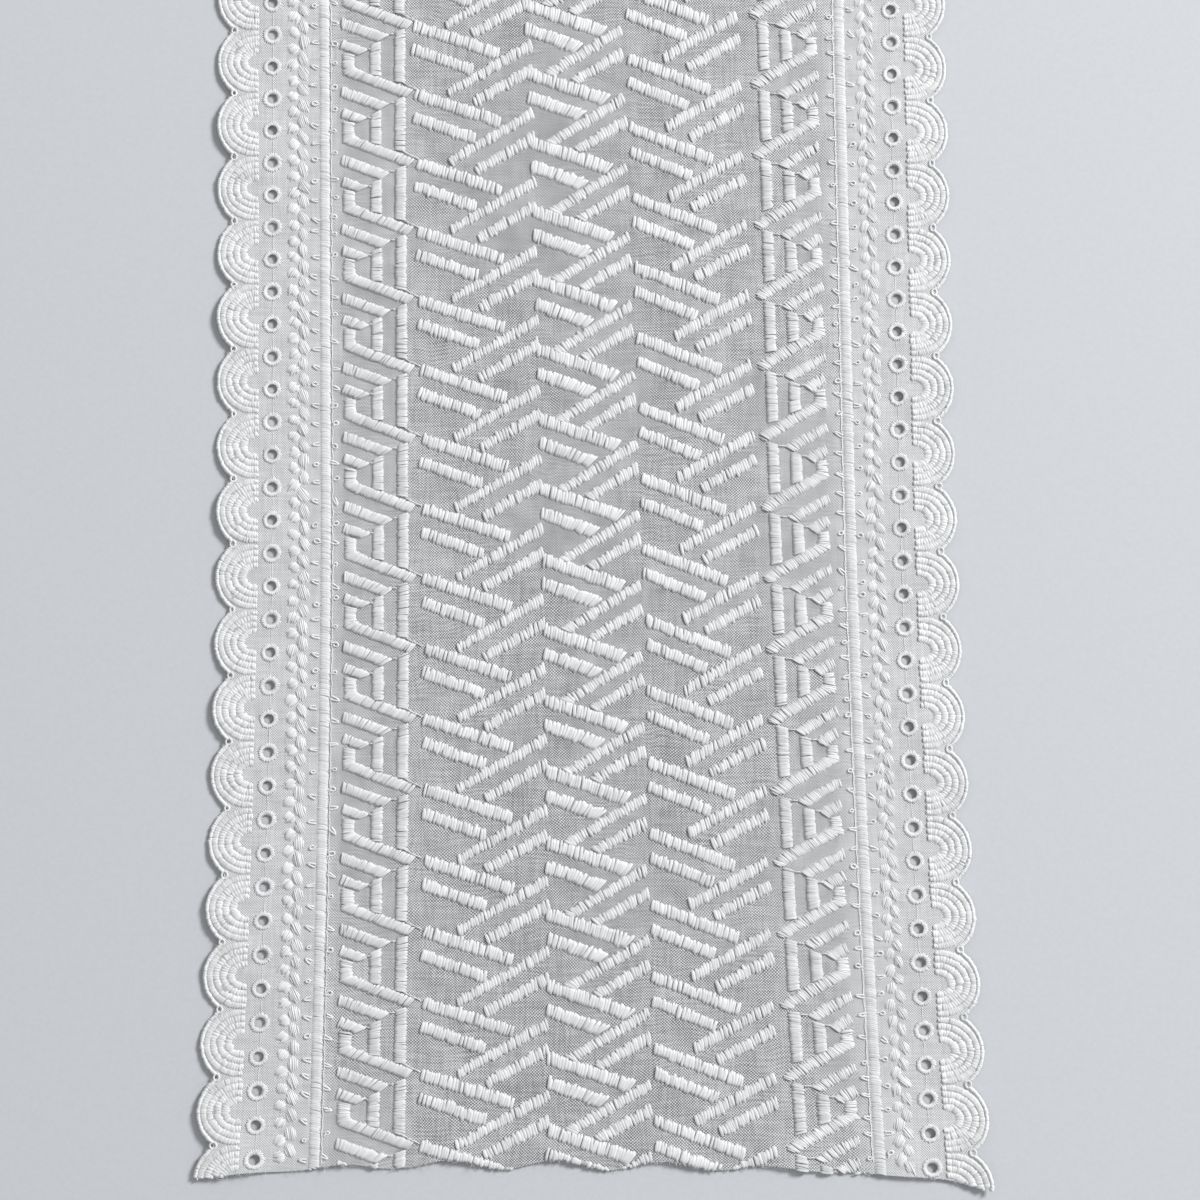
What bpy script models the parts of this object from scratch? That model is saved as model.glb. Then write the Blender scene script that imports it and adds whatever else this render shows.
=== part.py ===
"""Embroidered lace: a wide trim laid flat, a centre panel joined to two scalloped eyelet borders.

Metres, +Z up. X runs across the trim and Y along it, from the wavy cut end at -Y to the
straight cut end at +Y. The origin lies under the middle of the trim, on the surface it rests on.

Each piece is planned as it was cut, by two flat sizes in millimetres: how far across from the
middle line, and how far along from the wavy cut end. lay() then places that plan on the surface.
"""
import math

import bmesh
import bpy

MM = 0.001

# The trim as a whole
LENGTH = 338.6
SHEET_THICK = 1.4
SEAM_ACROSS = 71.0
PIECE_GAP = 0.4

# The eyelet borders
EYELET_ACROSS = 85.3
EYELET_PITCH = 9.0
EYELET_RADIUS = 1.3
EYELET_SIDES = 12
EYELET_COUNT = 38
CELL_HALF_WIDTH = 3.4
FIRST_EYELET = {"border_left": 3.1, "border_right": -0.8}

# A scallop is an arc about a centre inside the border. It spans a little less than two eyelets.
SCALLOP_PITCH = 17.85
SCALLOP_COUNT = 20
SCALLOP_CENTRE = 89.5
SCALLOP_RADIUS = 10.7
SCALLOP_STEPS = (-0.82, -0.58, -0.3, 0.0, 0.3, 0.58, 0.82, 1.0)
FIRST_SCALLOP = {"border_left": -1.9, "border_right": -5.9}

# A corner of the scalloped edge this close to the end of an eyelet's cell is left out
CORNER_ROOM = 0.25

# Towards its wavy cut end the trim spreads a little wider than it was cut
SPREAD_FROM = 181.4
SPREAD_OVER = 180.0
SPREAD_SHARE = 0.054
SPREAD_POWER = 1.6

# The wavy cut end: each wave's height, the distance between its crests, and where one crest is
CUT_MIDDLE = 0.8
CUT_LEAN = 0.021
CUT_DROOP = 4.6
CUT_WAVES = ((0.65, 29.5, 20.3), (0.62, 25.0, 15.7))

# Soft lifts off the surface: along the scalloped edges, and in waves along the wavy cut end
EDGE_LIFT = 0.8
EDGE_LIFT_FROM = 76.0
EDGE_LIFT_OVER = 25.0
EDGE_LIFT_PITCH = 54.0
END_LIFT = 0.9
END_LIFT_REACH = 9.0
END_LIFT_PITCH = 28.0
END_LIFT_CREST = 21.0

# The centre panel's columns and rows
PANEL_COLUMNS = 22
PANEL_END_ROWS = (0.0, 3.0, 6.5, 11.0, 17.0)
PANEL_ROW_PITCH = 17.0

# The borders lie on either side of the middle line
SIDES = {"border_left": -1, "border_right": 1}

# Halfway along the trim, measured from its lowest corner to its straight cut end
HALFWAY = 166.0


def clear_scene():
    for obj in list(bpy.data.objects):
        bpy.data.objects.remove(obj, do_unlink=True)


def cloth_material(name, colour, roughness):
    material = bpy.data.materials.new(name)
    material.use_nodes = True
    shader = material.node_tree.nodes["Principled BSDF"]
    shader.inputs["Base Color"].default_value = (*colour, 1.0)
    shader.inputs["Roughness"].default_value = roughness
    shader.inputs["Metallic"].default_value = 0.0
    return material


def fade(value):
    """0 below 0, 1 above 1 and a smooth rise between."""
    value = min(max(value, 0.0), 1.0)
    return value * value * (3.0 - 2.0 * value)


def spread(along):
    """How many times wider than cut the trim lies at this distance along."""
    share = max(0.0, (SPREAD_FROM - along) / SPREAD_OVER)
    return 1.0 + SPREAD_SHARE * share**SPREAD_POWER


def cut_line(across):
    """Where the wavy cut end lies along the trim: a lean, drooping corners and shallow waves."""
    level = CUT_MIDDLE - CUT_LEAN * across - CUT_DROOP * abs(across / 100.0) ** 3
    for height, pitch, crest in CUT_WAVES:
        level += height * math.cos(2.0 * math.pi * (across - crest) / pitch)
    return level


def lift(across, along):
    """How far the underside lies above the surface. It is 0 over most of the trim."""
    edge = fade((abs(across) - EDGE_LIFT_FROM) / EDGE_LIFT_OVER)
    side_phase = 0.0 if across < 0.0 else 1.9
    edge_wave = 0.5 + 0.5 * math.sin(2.0 * math.pi * along / EDGE_LIFT_PITCH + side_phase)
    end = math.exp(-((max(along, 0.0) / END_LIFT_REACH) ** 2))
    end_wave = 0.5 + 0.5 * math.cos(2.0 * math.pi * (across - END_LIFT_CREST) / END_LIFT_PITCH)
    raised = EDGE_LIFT * edge * edge_wave + END_LIFT * end * end_wave
    return raised if raised > 0.01 else 0.0


def lay(across, along):
    """The place in metres, on the underside, of a point of the flat plan in millimetres."""
    return (
        across * spread(along) * MM,
        (along - HALFWAY) * MM,
        lift(across, along) * MM,
    )


class Plan:
    """A flat plan of polygons whose shared corners are one point."""

    def __init__(self):
        self.places = {}
        self.faces = []

    def corner(self, across, along):
        key = (round(across, 4), round(along, 4))
        return self.places.setdefault(key, len(self.places))

    def polygon(self, corners):
        """A face from (across, along) corners. Repeated neighbours count once."""
        found = [self.corner(*corner) for corner in corners]
        kept = [p for i, p in enumerate(found) if p != found[i - 1]]
        self.faces.append(kept)

    def cloth(self, name, material):
        """The plan laid on the surface and given its thickness upwards."""
        points = [lay(*place) for place in self.places]
        mesh = bpy.data.meshes.new(name)
        mesh.from_pydata(points, [], self.faces)
        shape = bmesh.new()
        shape.from_mesh(mesh)
        bmesh.ops.triangulate(shape, faces=shape.faces[:])
        bmesh.ops.recalc_face_normals(shape, faces=shape.faces[:])
        if sum(face.normal.z for face in shape.faces) > 0.0:
            bmesh.ops.reverse_faces(shape, faces=shape.faces[:])
        shape.to_mesh(mesh)
        shape.free()
        mesh.materials.append(material)
        cloth = bpy.data.objects.new(name, mesh)
        bpy.context.scene.collection.objects.link(cloth)
        thickness = cloth.modifiers.new("thickness", "SOLIDIFY")
        thickness.thickness = SHEET_THICK * MM
        thickness.offset = -1.0
        thickness.use_rim = True
        return cloth


def scallop_edge(name, along):
    """How far across a border's scalloped edge lies, at this distance along."""
    off = math.remainder(along - FIRST_SCALLOP[name], SCALLOP_PITCH)
    return SCALLOP_CENTRE + math.sqrt(SCALLOP_RADIUS**2 - off**2)


def scallop_corners(name):
    """Distances along at which a border's scalloped edge has its corners."""
    tips = [FIRST_SCALLOP[name] + SCALLOP_PITCH * i for i in range(SCALLOP_COUNT)]
    return [tip + SCALLOP_PITCH / 2.0 * step for tip in tips for step in SCALLOP_STEPS]


def eyelet_rim(middle):
    """The round hole of an eyelet, once round from its outer side."""
    turns = [2.0 * math.pi * i / EYELET_SIDES for i in range(EYELET_SIDES + 1)]
    return [
        (EYELET_ACROSS + EYELET_RADIUS * math.cos(turn), middle + EYELET_RADIUS * math.sin(turn))
        for turn in turns
    ]


def add_eyelet(plan, side, middle, foot, head):
    """The cloth round one open eyelet, out to a cell whose ends foot and head give."""
    inner = EYELET_ACROSS - CELL_HALF_WIDTH
    outer = EYELET_ACROSS + CELL_HALF_WIDTH
    cell = [(outer, middle)]
    cell += [(across, head(across)) for across in (outer, EYELET_ACROSS, inner)]
    cell += [(inner, middle)]
    cell += [(across, foot(across)) for across in (inner, EYELET_ACROSS, outer)]
    cell += [(outer, middle)]
    rim = eyelet_rim(middle)
    quarter = EYELET_SIDES // 4
    for i in range(4):
        arc = rim[quarter * i : quarter * (i + 1) + 1]
        corners = cell[2 * i : 2 * i + 3] + arc[::-1]
        plan.polygon([(side * across, along) for across, along in corners])


def add_scalloped_side(plan, name, middle, foot, head):
    """The cloth from an eyelet's cell out to the scalloped edge."""
    outer = EYELET_ACROSS + CELL_HALF_WIDTH
    furthest = SCALLOP_CENTRE + SCALLOP_RADIUS
    low, high = foot(furthest), head(furthest)
    between = [s for s in scallop_corners(name) if low + CORNER_ROOM < s < high - CORNER_ROOM]
    corners = [(outer, head(outer)), (outer, middle), (outer, foot(outer))]
    corners += [(scallop_edge(name, along), along) for along in [low, *between, high]]
    plan.polygon([(SIDES[name] * across, along) for across, along in corners])


def add_seam_side(plan, side, middle, foot, head):
    """The plain cloth from the seam to an eyelet's cell."""
    seam = SEAM_ACROSS + PIECE_GAP / 2.0
    inner = EYELET_ACROSS - CELL_HALF_WIDTH
    feet = [(inner, foot(inner)), (seam, foot(seam))]
    heads = [(seam, head(seam)), (inner, head(inner))]
    middles = [(seam, middle), (inner, middle)]
    for corners in (feet + middles, middles[::-1] + heads):
        plan.polygon([(side * across, along) for across, along in corners])


def add_border(name):
    """One border, with its open eyelets and its scalloped edge."""
    side = SIDES[name]
    plan = Plan()
    for i in range(EYELET_COUNT):
        middle = FIRST_EYELET[name] + EYELET_PITCH * i
        low = middle - EYELET_PITCH / 2.0
        high = LENGTH if i == EYELET_COUNT - 1 else middle + EYELET_PITCH / 2.0

        def foot(across):
            return cut_line(side * across) if i == 0 else low

        def head(across):
            return high

        add_eyelet(plan, side, middle, foot, head)
        add_seam_side(plan, side, middle, foot, head)
        add_scalloped_side(plan, name, middle, foot, head)
    return plan.cloth(name, cloth_material("border_cotton", (0.80, 0.80, 0.81), 0.75))


def panel_rows():
    """Distances along for the centre panel's rows: close together at the wavy cut end."""
    rows = list(PANEL_END_ROWS)
    while rows[-1] + 1.5 * PANEL_ROW_PITCH < LENGTH:
        rows.append(rows[-1] + PANEL_ROW_PITCH)
    return rows + [LENGTH]


def add_centre_panel():
    """The centre panel, from seam to seam, with its wavy cut end."""
    plan = Plan()
    half = SEAM_ACROSS - PIECE_GAP / 2.0
    columns = [half * (2.0 * i / PANEL_COLUMNS - 1.0) for i in range(PANEL_COLUMNS + 1)]
    rows = panel_rows()
    reach = rows[len(PANEL_END_ROWS) - 1]

    def place(across, row):
        pull = 1.0 - fade(row / reach)
        return (across, row + cut_line(across) * pull)

    for low, high in zip(rows, rows[1:]):
        for left, right in zip(columns, columns[1:]):
            corners = [place(left, low), place(right, low), place(right, high), place(left, high)]
            plan.polygon(corners)
    return plan.cloth("centre_panel", cloth_material("panel_voile", (0.74, 0.75, 0.77), 0.8))


def main():
    clear_scene()
    add_centre_panel()
    for name in SIDES:
        add_border(name)


main()
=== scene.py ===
"""Embroidered lace laid flat: the cloth, its stitches, cords, knots and loops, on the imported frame.

A point of the flat plan is (across, along) in millimetres: across from the middle line, and along
from the wavy cut end. lay() puts a plan point, and a height above the underside, into the frame.
"""

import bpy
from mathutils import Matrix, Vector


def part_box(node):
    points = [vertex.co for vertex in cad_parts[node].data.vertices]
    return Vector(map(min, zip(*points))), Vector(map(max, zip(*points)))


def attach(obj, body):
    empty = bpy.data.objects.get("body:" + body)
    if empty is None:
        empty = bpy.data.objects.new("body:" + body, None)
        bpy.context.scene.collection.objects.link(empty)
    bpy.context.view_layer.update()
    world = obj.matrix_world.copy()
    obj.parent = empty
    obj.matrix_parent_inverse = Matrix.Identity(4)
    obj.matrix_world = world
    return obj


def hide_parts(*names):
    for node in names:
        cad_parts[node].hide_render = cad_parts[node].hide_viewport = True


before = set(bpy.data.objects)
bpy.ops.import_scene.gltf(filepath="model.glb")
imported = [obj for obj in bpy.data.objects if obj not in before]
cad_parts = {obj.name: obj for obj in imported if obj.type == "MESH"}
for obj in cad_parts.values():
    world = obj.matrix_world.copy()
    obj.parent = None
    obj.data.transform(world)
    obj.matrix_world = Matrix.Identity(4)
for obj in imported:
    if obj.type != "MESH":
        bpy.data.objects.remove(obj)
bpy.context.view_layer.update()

import math
from collections import namedtuple

import bpy
import numpy as np
from mathutils import Matrix, Vector

MM = 0.001
PI = math.pi
TAU = 2.0 * PI

# ---- the trim, as its CAD has it
LENGTH = 338.6
SEAM_ACROSS = 71.0
PIECE_GAP = 0.4
EYELET_ACROSS = 85.3
EYELET_PITCH = 9.0
EYELET_RADIUS = 1.3
EYELET_COUNT = 38
CELL_HALF_WIDTH = 3.4
FIRST_EYELET = {"left": 3.1, "right": -0.8}
SIDES = {"left": -1, "right": 1}
SCALLOP_PITCH = 17.85
SCALLOP_COUNT = 20
SCALLOP_CENTRE = 89.5
SCALLOP_RADIUS = 10.7
FIRST_SCALLOP = {"left": -1.9, "right": -5.9}
SPREAD_FROM, SPREAD_OVER, SPREAD_SHARE, SPREAD_POWER = 181.4, 180.0, 0.054, 1.6
CUT_MIDDLE, CUT_LEAN, CUT_DROOP = 0.8, 0.021, 4.6
CUT_WAVES = ((0.65, 29.5, 20.3), (0.62, 25.0, 15.7))
EDGE_LIFT, EDGE_LIFT_FROM, EDGE_LIFT_OVER, EDGE_LIFT_PITCH = 0.8, 76.0, 25.0, 54.0
END_LIFT, END_LIFT_REACH, END_LIFT_PITCH, END_LIFT_CREST = 0.9, 9.0, 28.0, 21.0

# The straight cut end is the panel's high end, and the plan's halfway line follows from it
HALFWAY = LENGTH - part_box("centre_panel")[1].y / MM
FLOOR_LEVEL = min(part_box(node)[0].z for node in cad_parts)

# ---- the stitched repeat
REPEAT = 19.24
REPEAT_SKEW = 0.002
FIRST_ROW = 11.6
ROWS = range(-2, 19)

# A bar is a satin ribbon, given by its kind of stitch and its knots. Each knot is the across and
# along of its top edge, then of its bottom edge, in millimetres from the row's start. The middle
# columns' bars are all coarse, so only their knots are here.
COLUMNS = {
    "column_1": [
        [(-43.7, -4.3, -44.5, -7.4), (-20.5, -12.2, -21.3, -15.5)],
        [(-44.2, -10.7, -45.0, -13.7), (-27.6, -16.8, -28.3, -19.9)],
        [(-35.3, -23.8, -34.8, -26.2), (-12.1, -10.2, -11.4, -13.3)],
        [(-28.3, -26.4, -27.3, -29.0), (-11.9, -16.9, -11.3, -20.1)],
    ],
    "column_2": [
        [(-11.1, 0.4, -11.6, -3.0), (8.0, -6.4, 6.9, -9.9), (11.3, -7.6, 8.4, -10.7)],
        [(-11.1, -6.2, -11.6, -9.5), (2.6, -11.2, 0.2, -14.2), (4.6, -12.0, 1.0, -14.6)],
        [(-7.3, -20.2, -4.3, -21.4), (-4.6, -18.7, -3.1, -20.8), (14.5, -7.3, 15.2, -10.2)],
        [(0.3, -22.3, 2.7, -23.8), (2.6, -20.9, 3.9, -23.1), (14.8, -13.6, 15.4, -17.0)],
    ],
    "column_3": [
        [(15.7, 2.5, 15.2, -0.5), (38.2, -6.5, 37.4, -9.9)],
        [(15.5, -4.0, 15.0, -7.0), (32.1, -11.0, 30.9, -14.0)],
        [(25.2, -17.0, 25.8, -20.1), (45.7, -5.6, 46.4, -8.5)],
        [(31.2, -20.2, 32.2, -22.9), (46.1, -12.0, 46.9, -15.1)],
    ],
}

# The key bands beside the seams. They nearly mirror each other. The right one is drawn in tighter.
KEY_BARS = {
    "left": [
        ("fine", [
            (-62.9, 5.2, -66.0, 6.0), (-62.9, 2.3, -66.1, 1.9), (-62.8, 1.8, -66.1, 0.1),
            (-61.9, 1.3, -63.9, -0.9), (-46.5, -4.5, -48.5, -7.0),
        ]),
        ("fine", [(-65.9, -3.4, -66.3, -6.4), (-53.0, -8.4, -56.1, -10.3)]),
        ("fine", [(-65.7, -9.4, -66.4, -12.1), (-58.9, -12.2, -61.9, -13.6)]),
        ("upright", [(-55.5, 8.9, -58.4, 7.7), (-55.5, -0.6, -58.5, -0.2)]),
        ("upright", [(-48.7, 12.3, -51.6, 11.3), (-48.9, -2.9, -51.8, -2.4)]),
    ],
    "right": [
        ("lively", [
            (61.3, 5.5, 64.2, 5.9), (61.3, 2.9, 64.4, 2.5), (61.1, 2.3, 64.7, 1.1),
            (60.0, 2.0, 62.6, -0.1), (56.0, -0.2, 57.8, -2.7), (47.6, -4.9, 49.9, -7.1),
            (45.7, -6.3, 48.8, -7.9),
        ]),
        ("lively", [
            (64.2, -3.4, 64.8, -5.8), (57.5, -6.6, 59.2, -9.0), (53.9, -8.7, 56.2, -10.7),
            (52.8, -9.4, 55.7, -11.0),
        ]),
        ("lively", [
            (63.8, -9.3, 64.7, -12.0), (60.7, -10.7, 62.4, -13.4), (58.3, -12.2, 61.1, -14.2),
        ]),
        ("upright", [(57.3, 7.2, 54.3, 8.1), (57.5, 0.4, 54.4, -0.6)]),
        ("upright", [(51.1, 10.3, 48.1, 11.2), (51.2, -2.4, 48.3, -3.0)]),
    ],
}
# Single threads that run on from bar to bar, and each one's number of points
LINK_POINTS = 9
KEY_LINKS = {
    "left": [
        [(-49.6, -2.8), (-48.1, -3.7), (-46.6, -4.4), (-45.1, -5.2)],
        [(-53.0, -8.4), (-51.8, -8.3)],
        [(-59.1, -12.2), (-58.3, -12.3)],
    ],
    "right": [
        [(46.2, -6.9), (48.0, -7.8)],
        [(51.2, -9.3), (53.0, -9.4)],
        [(57.5, -12.3), (58.7, -12.3)],
        [(59.2, -12.9), (61.2, -13.9)],
    ],
}
# How far each column lies from its even place, across and along: a constant, then per DRIFT_OVER
# along from DRIFT_FROM, then per the square of that
DRIFT_FROM, DRIFT_OVER = 160.0, 150.0
DRIFTS = {
    "left": ((0.53, -0.67, 0.17), (-1.08, -0.44, 1.03)),
    "column_1": ((0.01, -1.46, -0.65), (-1.44, -0.88, 0.92)),
    "column_2": ((-0.55, -1.95, -1.46), (-1.50, -0.56, 0.68)),
    "column_3": ((0.09, -1.76, -1.28), (-1.74, -0.01, 1.32)),
    "right": ((1.60, -1.26, 0.03), (-2.72, -0.29, 2.09)),
}
# How far from the middle line the cord over each seam lies, in the same way
SEAM_LINES = {"left": (70.65, 0.35), "right": (71.70, -0.55)}

# How each kind of stitch lies, in millimetres. The last three aren't ribbons, so what only a
# ribbon uses is nought, and so is what a knot's own row gives: its width, crown and roundness.
STITCH_FIELDS = "pitch width tip crown ragged gaps loose flat round tone across sections"
Stitch = namedtuple("Stitch", STITCH_FIELDS)
# The tone column is partly painted sheen: kinds of one white thread get lighter or darker tones by
# which way their strands run to the key light, in place of a lustre that follows the thread.
STITCHES = {
    "coarse": Stitch(0.74, 0.90, 0.58, 0.60, 0.19, 0.10, 0.17, 5.0, 0.60, 0.725, 4, 7),
    "fine": Stitch(0.48, 0.58, 0.72, 0.60, 0.11, 0.06, 0.13, 4.5, 0.60, 0.64, 4, 7),
    "lively": Stitch(0.50, 0.56, 0.62, 0.60, 0.14, 0.10, 0.13, 4.0, 0.85, 0.78, 4, 7),
    "upright": Stitch(0.48, 0.60, 0.80, 0.60, 0.10, 0.02, 0.12, 5.0, 0.40, 0.57, 4, 7),
    "cord": Stitch(0.54, 0.72, 0.80, 0.29, 0.07, 0.03, 0.10, 4.0, 0.42, 0.70, 4, 6),
    "low_cord": Stitch(0.54, 0.72, 0.80, 0.26, 0.07, 0.03, 0.10, 4.0, 0.40, 0.62, 4, 6),
    "band": Stitch(0.66, 0.84, 0.85, 0.32, 0.05, 0.03, 0.08, 5.0, 0.42, 0.67, 4, 6),
    "rim": Stitch(0.60, 0.76, 0.75, 0.52, 0.06, 0.00, 0.06, 2.3, 0.60, 0.88, 4, 6),
    "rib": Stitch(0.84, 1.00, 0.75, 0.36, 0.12, 0.03, 0.11, 2.6, 0.62, 0.76, 4, 6),
    "wrap": Stitch(0.0, 0.74, 0.60, 0.50, 0.0, 0.0, 0.0, 2.6, 0.70, 0.86, 4, 7),
    "spoke": Stitch(0.0, 0.44, 0.70, 0.38, 0.0, 0.0, 0.0, 3.0, 0.80, 0.74, 3, 5),
    "knot": Stitch(0.0, 0.0, 0.50, 0.0, 0.0, 0.0, 0.0, 2.6, 0.0, 0.80, 4, 7),
}
# How much wider than its neighbours a space is where a dark slit shows
SLIT = 0.50
# How far a strand's ends stand outside its ribbon's edges, and how deep they are in the cloth
STITCH_OUTSIDE, STRAND_SINK = 0.16, 0.12
# Strands end this far inside the cloth's cut ends, and a ribbon's up to RAGGED_CUT further out
CUT_MARGIN, RAGGED_CUT, SHORTEST_STRAND = 0.15, 0.55, 0.45
# Where a ribbon's padding has its points, as shares of the way across it
CORE_STEPS = (0.04, 0.12, 0.3, 0.5, 0.7, 0.88, 0.96)

# Scallop bands: half sizes across and along of each band's outer and inner curve
SCALLOP_BANDS = [
    ("band", (9.95, 9.0), (8.45, 7.40)),
    ("rib", (8.47, 7.42), (6.60, 5.58)),
    ("rib", (6.62, 5.60), (4.70, 3.85)),
    ("rib", (4.72, 3.87), (2.60, 2.15)),
]
# How far along from its tip a scallop's bands and its overcast rim reach
BAND_LIMIT, RIM_LIMIT = 8.7, 9.0
# How far across the two stitches are that close the inner end of each band
WRAP_ACROSS = (89.35, 89.85)
# The inner and outer size of the overcast rim, and how far round it goes from its tip
RIM_SIZES, RIM_TURN = (10.00, 10.78), 0.90
# The picot loops in the valleys
PICOT_ACROSS, PICOT_HALF_SIZES, PICOT_THICK, PICOT_POINTS = 95.75, (0.72, 0.85), 0.30, 14

# Each eyelet's ring and the spokes over it. Every other eyelet is a little larger.
RIM_SCALES = (1.04, 0.97)
RING_RADIUS, RING_THICK, RING_HEIGHT, RING_POINTS = 1.89, 0.48, 0.13, 24
SPOKE_FROM, SPOKE_TO, SPOKE_COUNT = 1.46, 2.72, 26
# The thread from one eyelet to the next starts this far from their middles
BRIDGE_FROM = 2.8

# The cord over each seam, whose strands slant down to the right
CORD_HALF_WIDTH, CORD_SLANT = 1.35, 0.55
# The loose thread beside the cord: how far from its middle, and the pitches of its two waves
BESIDE_CORD, BESIDE_WAVES = 1.86, (3.1, 7.7)
# The radius of that thread and of the links, and of the threads to and between the eyelets
LOOSE_THREAD, FINE_THREAD = 0.17, 0.09

# Lines of loops beside the cord: how far to its left, their pitch, where the first is along the
# trim, and the share that are hairpins
LoopLine = namedtuple("LoopLine", "left pitch begin hairpins")
LOOP_LINES = [LoopLine(2.7, 5.2, 2.2, 0.75), LoopLine(-2.75, 5.9, 3.6, 0.5)]

# Rows of knots: how far across, how far along from an eyelet, half sizes across and along the
# strands, how far these lean to the left, how uneven their ends are, how much shorter the outer
# ones are, how round each is, and their crown
KNOT_STRANDS = 6
Knot = namedtuple("Knot", "place offset half_wide half_tall lean jut taper round crown")
KNOT_ROWS = {
    "left": [
        Knot(79.5, 0.55, 1.55, 1.65, -0.72, 0.30, 0.30, 1.60, 0.62),
        Knot(76.8, -2.10, 1.32, 2.25, 0.34, 0.22, 0.42, 1.50, 0.60),
    ],
    "right": [
        Knot(76.8, 2.45, 1.25, 1.90, -0.40, 0.26, 0.40, 1.60, 0.54),
        Knot(79.1, 0.20, 1.15, 2.15, 0.48, 0.22, 0.46, 1.50, 0.54),
    ],
}

# How close knots and loops come to the cut ends
KNOT_ROOM, LOOP_ROOM = 1.2, 1.5
# How many thread ends show along the wavy cut, and how far across they reach
FRAY_COUNT, FRAY_ACROSS = 520, 99.0

# The cloth's height above its underside
GROUND_LEVEL = 0.42
# The centre panel's columns and rows, how far from the wavy cut end its rows are bent, and how far
# from the middle line its columns start to follow the seams
PANEL_GRID, PANEL_END_REACH, SEAM_PULL_FROM = (100, 250), 17.0, 55.0
# A border cell's rows stay straight this far from its eyelet's middle
CELL_CORE = 1.6

rng = np.random.default_rng(20)
put = bpy.context.scene.collection.objects.link


# ---- the plan and how it lies
def fade(value):
    value = np.clip(value, 0.0, 1.0)
    return value * value * (3.0 - 2.0 * value)


def spread(along):
    share = np.maximum(0.0, (SPREAD_FROM - along) / SPREAD_OVER)
    return 1.0 + SPREAD_SHARE * share**SPREAD_POWER


def cut_line(across):
    level = CUT_MIDDLE - CUT_LEAN * across - CUT_DROOP * np.abs(across / 100.0) ** 3
    for height, pitch, crest in CUT_WAVES:
        level = level + height * np.cos(TAU * (across - crest) / pitch)
    return level


def lift(across, along):
    edge = fade((np.abs(across) - EDGE_LIFT_FROM) / EDGE_LIFT_OVER)
    side_phase = np.where(across < 0.0, 0.0, 1.9)
    edge_wave = 0.5 + 0.5 * np.sin(TAU * along / EDGE_LIFT_PITCH + side_phase)
    end = np.exp(-((np.maximum(along, 0.0) / END_LIFT_REACH) ** 2))
    end_wave = 0.5 + 0.5 * np.cos(TAU * (across - END_LIFT_CREST) / END_LIFT_PITCH)
    raised = EDGE_LIFT * edge * edge_wave + END_LIFT * end * end_wave
    return np.where(raised > 0.01, raised, 0.0)


def lay(across, along, height):
    """Plan points and heights above the underside, as an array of places in metres."""
    x = across * spread(along)
    y = along - HALFWAY
    z = lift(across, along) + height
    return np.stack(np.broadcast_arrays(x, y, z), axis=-1) * MM + np.array([0.0, 0.0, FLOOR_LEVEL])


def ground_height(across, along):
    """The cloth's height above its underside: it puckers a little between the stitches."""
    wave = 0.060 * np.sin(TAU * (across / 11.3 + along / 17.9))
    wave += 0.045 * np.sin(TAU * (across / 6.1 - along / 9.7) + 1.3)
    wave += 0.040 * np.sin(TAU * (across / 23.0 + along / 7.3) + 0.4)
    wave += 0.035 * np.sin(TAU * (across / 13.7 + along / 4.6) + 2.0 * np.sin(across / 9.0))
    wave += 0.030 * np.sin(TAU * (across / 8.3 - along / 5.1) + 2.0 * np.sin(along / 11.0))
    return GROUND_LEVEL + wave


def eyelet_middles(side_name):
    return [FIRST_EYELET[side_name] + EYELET_PITCH * i for i in range(EYELET_COUNT)]


def scallop_tips(side_name):
    return [FIRST_SCALLOP[side_name] + SCALLOP_PITCH * i for i in range(SCALLOP_COUNT)]


def scallop_edge(side_name, along):
    turns = (along - FIRST_SCALLOP[side_name]) / SCALLOP_PITCH
    off = (turns - np.round(turns)) * SCALLOP_PITCH
    return SCALLOP_CENTRE + np.sqrt(SCALLOP_RADIUS**2 - off**2)


# ---- meshes made of many small grids
class Stock:
    """Grids of points that end up as one joined mesh."""

    def __init__(self):
        self.parts = []
        self.count = 0

    def grids(self, points, maps, shades, closed=False):
        """points is (number, along, across, 3). maps is the same with 2. shades is (number,)."""
        number, along, across = points.shape[:3]
        if number == 0:
            return
        index = np.arange(number * along * across).reshape(number, along, across) + self.count
        following = np.roll(index, -1, axis=2) if closed else index[:, :, 1:]
        here = index if closed else index[:, :, :-1]
        quads = np.stack([here[:, :-1], here[:, 1:], following[:, 1:], following[:, :-1]], axis=-1)
        flat = (points.reshape(-1, 3), quads.reshape(-1, 4), maps.reshape(-1, 2))
        self.parts.append((*flat, np.repeat(shades, along * across)))
        self.count += number * along * across

    def build(self, name, material):
        kinds = (np.float32, np.int32, np.float32, np.float32)
        points, quads, maps, shades = [
            np.concatenate(part).astype(kind) for part, kind in zip(zip(*self.parts), kinds)
        ]
        mesh = bpy.data.meshes.new(name)
        mesh.vertices.add(len(points))
        mesh.vertices.foreach_set("co", points.ravel())
        mesh.loops.add(quads.size)
        mesh.loops.foreach_set("vertex_index", quads.ravel())
        mesh.polygons.add(len(quads))
        mesh.polygons.foreach_set("loop_start", np.arange(len(quads), dtype=np.int32) * 4)
        mesh.polygons.foreach_set("use_smooth", np.ones(len(quads), dtype=bool))
        layer = mesh.uv_layers.new(name="plan")
        layer.data.foreach_set("uv", maps[quads.ravel()].ravel())
        shade = mesh.attributes.new("shade", "FLOAT", "POINT")
        shade.data.foreach_set("value", shades)
        mesh.update(calc_edges=True)
        mesh.validate()
        mesh.materials.append(material)
        piece = bpy.data.objects.new(name, mesh)
        put(piece)
        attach(piece, "root")
        return piece


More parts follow.
